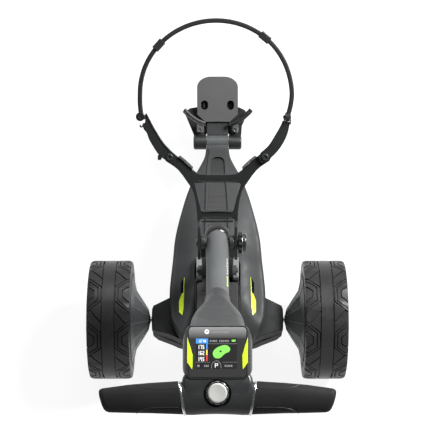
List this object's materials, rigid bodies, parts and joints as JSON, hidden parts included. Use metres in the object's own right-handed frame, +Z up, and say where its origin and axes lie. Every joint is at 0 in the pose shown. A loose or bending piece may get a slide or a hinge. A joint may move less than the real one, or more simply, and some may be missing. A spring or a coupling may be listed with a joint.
{
  "type": "electric golf trolley",
  "caption": "Electric golf trolley with a folding frame, wide treaded rear wheels, console handle, speed dial, bag brackets with a strap hoop and a slide-out battery.",
  "frame": {"origin": "on the ground under the middle of the overall box", "axes": "+X to the right of a person pushing it, +Y forward, +Z up"},
  "size_m": [0.59, 1.0878, 0.9719],
  "materials": {
    "frame_black": "satin powder coat",
    "cover_dark": "fine moulded grain",
    "cover_black": "fine moulded grain",
    "steel": "turned",
    "cast_alloy": "cast",
    "circuit_board": "solder mask",
    "lime_trim": "gloss",
    "battery_shell": "moulded",
    "stem_gunmetal": "satin metallic",
    "console_black": "satin moulded",
    "screen_glass": "polished",
    "display": "backlit panel",
    "bright_trim": "satin chrome",
    "grip_rubber": "soft touch",
    "dial_chrome": "dark chrome",
    "dial_face": "satin silver",
    "bracket_black": "glass-filled nylon",
    "pad_rubber": "soft rubber",
    "strap_rubber": "elastomer",
    "knob_dark": "satin",
    "plate_grey": "satin",
    "tyre_rubber": "satin rubber",
    "rim_grey": "satin moulded"
  },
  "bodies": {
    "chassis": {"spine": "frame_black", "shroud": "cover_dark", "belly_pan": "cover_black", "drive_housing_upper": "cover_black", "drive_housing_lower": "cover_black", "drive_motor": "steel", "gearbox": "cast_alloy", "control_board": "circuit_board", "battery_tray": "cover_black", "battery_socket": "cover_black", "body_accents": "lime_trim", "fold_pin": "steel", "axle_bearings": "steel", "cover_screws": "steel"},
    "battery": {"battery_case": "battery_shell", "battery_lid": "battery_shell"},
    "battery_handle": {"battery_bail": "cover_dark"},
    "mid_frame": {"mid_rail_left": "frame_black", "mid_rail_right": "frame_black", "mid_crossmember": "frame_black", "upper_hinge_pin": "steel"},
    "frame_catch": {"frame_catch": "lime_trim"},
    "hinge_head": {"hinge_head": "frame_black"},
    "handle": {"stem_collar": "frame_black", "stem_tube": "stem_gunmetal", "stem_neck": "cover_dark", "console_base": "console_black", "console_bezel": "console_black", "screen_glass": "screen_glass", "display_module": "display", "console_accents": "lime_trim", "handle_core": "console_black", "handle_trims": "bright_trim", "grip_left": "grip_rubber", "grip_right": "grip_rubber"},
    "dial": {"dial_ring": "dial_chrome"},
    "dial_button": {"dial_cap": "dial_face"},
    "bag_bracket": {"bag_bracket": "bracket_black", "bracket_arm_left": "bracket_black", "bracket_arm_right": "bracket_black", "bracket_pads": "pad_rubber", "arm_bolts": "steel"},
    "strap": {"strap": "strap_rubber", "strap_clips": "console_black"},
    "clamp_knob": {"clamp_knob": "knob_dark"},
    "front_fork": {"front_fork": "frame_black", "bag_plate": "plate_grey", "front_pins": "steel"},
    "lower_arm_left": {"lower_arm_left": "pad_rubber"},
    "lower_arm_right": {"lower_arm_right": "pad_rubber"},
    "front_wheel": {"front_tyre": "tyre_rubber", "front_rim": "rim_grey"},
    "wheel_left": {"rear_tyre_left": "tyre_rubber", "rear_rim_left": "rim_grey", "half_shaft_left": "steel"},
    "release_left": {"release_button_left": "lime_trim"},
    "wheel_right": {"rear_tyre_right": "tyre_rubber", "rear_rim_right": "rim_grey", "half_shaft_right": "steel"},
    "release_right": {"release_button_right": "lime_trim"}
  },
  "joints": [
    {"name": "frame_fold", "type": "hinge", "parent": "chassis", "child": "mid_frame", "pos_m": [0, -0.0151, 0.24], "axis": [-1, 0, 0], "range_deg": [0, 100]},
    {"name": "head_fold", "type": "hinge", "parent": "mid_frame", "child": "hinge_head", "pos_m": [0, -0.0871, 0.579], "axis": [1, 0, 0], "range_deg": [0, 130]},
    {"name": "bracket_fold", "type": "hinge", "parent": "hinge_head", "child": "bag_bracket", "pos_m": [0, -0.0871, 0.579], "axis": [1, 0, 0], "range_deg": [0, 70]},
    {"name": "front_fold", "type": "hinge", "parent": "chassis", "child": "front_fork", "pos_m": [0, 0.3539, 0.17], "axis": [-1, 0, 0], "range_deg": [0, 103]},
    {"name": "handle_tilt", "type": "hinge", "parent": "hinge_head", "child": "handle", "pos_m": [0, -0.0871, 0.579], "axis": [1, 0, 0], "range_deg": [-28, 0]},
    {"name": "strap_swing", "type": "hinge", "parent": "bag_bracket", "child": "strap", "pos_m": [0, 0.13033, 0.71839], "axis": [1, 0, 0], "range_deg": [-60, 35]},
    {"name": "clamp_knob_turn", "type": "hinge", "parent": "mid_frame", "child": "clamp_knob", "pos_m": [0, -0.0871, 0.579], "axis": [1, 0, 0], "range_deg": [0, 180]},
    {"name": "front_wheel_spin", "type": "hinge", "parent": "front_fork", "child": "front_wheel", "pos_m": [0, 0.4499, 0.094], "axis": [1, 0, 0], "continuous": true},
    {"name": "wheel_left_spin", "type": "hinge", "parent": "chassis", "child": "wheel_left", "pos_m": [-0.247, -0.0951, 0.138], "axis": [1, 0, 0], "continuous": true},
    {"name": "wheel_right_spin", "type": "hinge", "parent": "chassis", "child": "wheel_right", "pos_m": [0.247, -0.0951, 0.138], "axis": [1, 0, 0], "continuous": true},
    {"name": "release_left_push", "type": "slide", "parent": "wheel_left", "child": "release_left", "axis": [1, 0, 0], "range_m": [0, 0.004], "stiffness_N_per_m": 400},
    {"name": "release_right_push", "type": "slide", "parent": "wheel_right", "child": "release_right", "axis": [-1, 0, 0], "range_m": [0, 0.004], "stiffness_N_per_m": 400},
    {"name": "dial_turn", "type": "hinge", "parent": "handle", "child": "dial", "pos_m": [0, -0.5106, 0.93194], "axis": [0, -0.342, 0.9397], "range_deg": [-150, 150]},
    {"name": "dial_push", "type": "slide", "parent": "dial", "child": "dial_button", "axis": [0, 0.342, -0.9397], "range_m": [0, 0.0015], "stiffness_N_per_m": 800},
    {"name": "battery_slide", "type": "slide", "parent": "chassis", "child": "battery", "axis": [0, -1, 0], "range_m": [0, 0.17]},
    {"name": "battery_bail_lift", "type": "hinge", "parent": "battery", "child": "battery_handle", "pos_m": [0, -0.147, 0.2326], "axis": [1, 0, 0], "range_deg": [0, 100]},
    {"name": "catch_release", "type": "hinge", "parent": "mid_frame", "child": "frame_catch", "pos_m": [0, -0.03588, 0.33782], "axis": [-1, 0, 0], "range_deg": [0, 8], "stiffness_Nm_per_rad": 0.6},
    {"name": "lower_arm_left_swing", "type": "hinge", "parent": "front_fork", "child": "lower_arm_left", "pos_m": [-0.0432, 0.38075, 0.1855], "axis": [0, -0.5, 0.866], "range_deg": [0, 20]},
    {"name": "lower_arm_right_swing", "type": "hinge", "parent": "front_fork", "child": "lower_arm_right", "pos_m": [0.0432, 0.38075, 0.1855], "axis": [0, 0.5, -0.866], "range_deg": [0, 20]}
  ],
  "couplings": [
    {"joint": "head_fold", "follows": "frame_fold", "ratio": 1.3},
    {"joint": "bracket_fold", "follows": "frame_fold", "ratio": 0.7},
    {"joint": "front_fold", "follows": "frame_fold", "ratio": 1.03}
  ]
}
